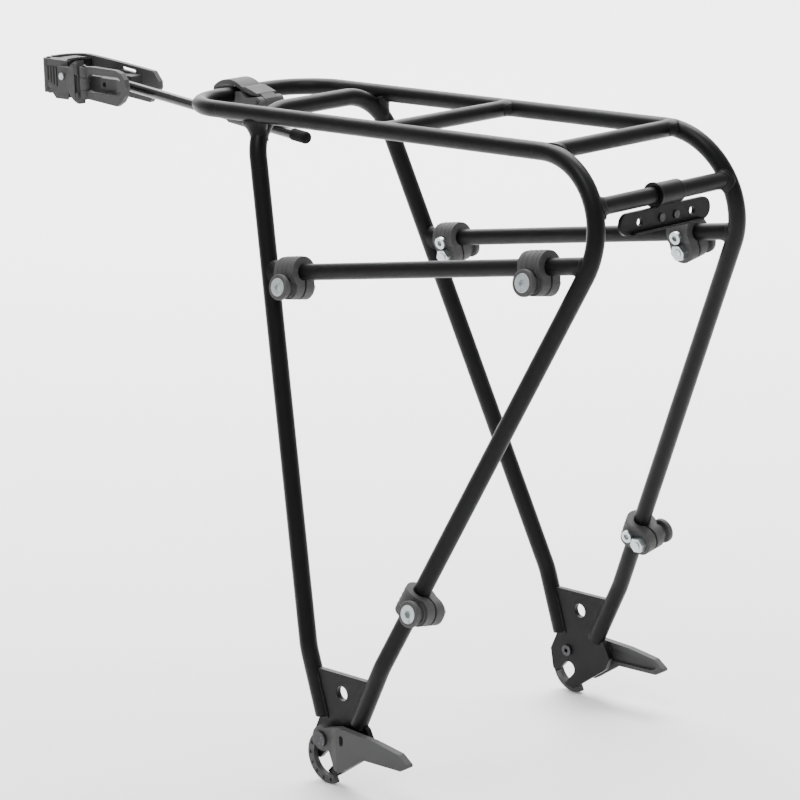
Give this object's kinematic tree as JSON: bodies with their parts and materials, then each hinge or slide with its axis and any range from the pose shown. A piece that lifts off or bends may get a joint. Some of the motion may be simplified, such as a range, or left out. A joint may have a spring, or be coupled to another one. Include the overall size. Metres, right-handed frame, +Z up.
{
  "type": "bicycle rear rack",
  "caption": "Tubular bicycle rear rack with locking feet, bag-hook adapters, lamp bracket and a sliding strut that ends in a hinged seatpost clamp.",
  "frame": {"origin": "midpoint between the two foot seats, on the line that joins them", "axes": "+Z up, +Y forward to the seatpost, +X to the bicycle's right"},
  "size_m": [0.2592, 0.5936, 0.4396],
  "materials": {
    "frame_tube": "satin black powder coat",
    "strut": "gloss black anodised",
    "moulded_plastic": "fine moulded grain",
    "rubber": "matt",
    "zinc_steel": "zinc plated",
    "pivot": "black coated rivet",
    "bare_aluminium": "turned"
  },
  "bodies": {
    "rack_frame": {"front_bow": "frame_tube", "front_arch": "frame_tube", "middle_cross_tube": "frame_tube", "rear_cross_tube": "frame_tube", "light_cross_tube": "frame_tube", "left_deck_rail": "frame_tube", "left_rear_stay": "frame_tube", "left_front_stay": "frame_tube", "left_pannier_rail": "frame_tube", "left_dropout_plate": "frame_tube", "left_lever_pivot": "pivot", "left_pivot_spacer": "bare_aluminium", "right_deck_rail": "frame_tube", "right_rear_stay": "frame_tube", "right_front_stay": "frame_tube", "right_pannier_rail": "frame_tube", "right_dropout_plate": "frame_tube", "right_lever_pivot": "pivot", "right_pivot_spacer": "bare_aluminium", "left_front_adapter_collar": "moulded_plastic", "left_front_adapter_stud": "moulded_plastic", "left_rear_adapter_collar": "moulded_plastic", "left_rear_adapter_stud": "moulded_plastic", "left_stay_adapter_collar": "moulded_plastic", "left_stay_adapter_stud": "moulded_plastic", "right_front_adapter_collar": "moulded_plastic", "right_front_adapter_stud": "moulded_plastic", "right_rear_adapter_collar": "moulded_plastic", "right_rear_adapter_stud": "moulded_plastic", "right_stay_adapter_collar": "moulded_plastic", "right_stay_adapter_stud": "moulded_plastic", "adapter_stud_screws": "zinc_steel", "adapter_stud_nuts": "zinc_steel", "adapter_grip_screws": "zinc_steel"},
    "left_lever": {"left_lock_lever": "moulded_plastic"},
    "right_lever": {"right_lock_lever": "moulded_plastic"},
    "left_ring": {"left_lock_ring": "moulded_plastic"},
    "right_ring": {"right_lock_ring": "moulded_plastic"},
    "light_mount": {"light_bracket": "frame_tube", "bracket_rivets": "pivot"},
    "coupling": {"coupling_body": "moulded_plastic", "coupling_pin": "pivot", "coupling_screw": "pivot"},
    "cap": {"coupling_cap": "moulded_plastic"},
    "strut": {"strut_rod": "strut", "strut_end_cap": "rubber"},
    "yoke": {"clamp_yoke": "moulded_plastic", "clamp_band": "moulded_plastic", "band_screws": "zinc_steel", "yoke_pin": "pivot", "yoke_pad": "rubber", "head_pin": "pivot"},
    "head": {"clamp_head": "moulded_plastic", "head_pad": "rubber", "head_screw": "zinc_steel", "loop_pin": "pivot"},
    "loop": {"clamp_loop": "moulded_plastic"}
  },
  "joints": [
    {"name": "left_lever_turn", "type": "hinge", "parent": "rack_frame", "child": "left_lever", "pos_m": [-0.126, 0.001, 0.0135], "axis": [1, 0, 0], "range_deg": [-95, 0]},
    {"name": "left_ring_turn", "type": "hinge", "parent": "rack_frame", "child": "left_ring", "pos_m": [-0.1214, 0, 0], "axis": [1, 0, 0], "range_deg": [-116.5, 0]},
    {"name": "right_lever_turn", "type": "hinge", "parent": "rack_frame", "child": "right_lever", "pos_m": [0.126, 0.001, 0.0135], "axis": [1, 0, 0], "range_deg": [-95, 0]},
    {"name": "right_ring_turn", "type": "hinge", "parent": "rack_frame", "child": "right_ring", "pos_m": [0.1214, 0, 0], "axis": [1, 0, 0], "range_deg": [-116.5, 0]},
    {"name": "light_mount_tilt", "type": "hinge", "parent": "rack_frame", "child": "light_mount", "pos_m": [0, -0.18714, 0.37816], "axis": [1, 0, 0], "range_deg": [-20, 20]},
    {"name": "coupling_swivel", "type": "hinge", "parent": "rack_frame", "child": "coupling", "pos_m": [0, 0.195, 0.408], "axis": [1, 0, 0], "range_deg": [-8, 15]},
    {"name": "cap_open", "type": "hinge", "parent": "coupling", "child": "cap", "pos_m": [0, 0.1675, 0.4042], "axis": [1, 0, 0], "range_deg": [0, 105]},
    {"name": "strut_slide", "type": "slide", "parent": "coupling", "child": "strut", "axis": [0, 0.9938, 0.1113], "range_m": [-0.045, 0.025]},
    {"name": "clamp_pitch", "type": "hinge", "parent": "strut", "child": "yoke", "pos_m": [0, 0.326, 0.40467], "axis": [1, 0, 0], "range_deg": [-20, 20]},
    {"name": "head_swing", "type": "hinge", "parent": "yoke", "child": "head", "pos_m": [-0.0095, 0.3925, 0.405], "axis": [0, 0, 1], "range_deg": [-75, 0]},
    {"name": "loop_swing", "type": "hinge", "parent": "head", "child": "loop", "pos_m": [-0.017, 0.3435, 0.405], "axis": [0, 0, 1], "range_deg": [-100, 0]}
  ],
  "couplings": [
    {"joint": "left_ring_turn", "follows": "left_lever_turn", "ratio": 1.221},
    {"joint": "right_ring_turn", "follows": "right_lever_turn", "ratio": 1.221}
  ]
}
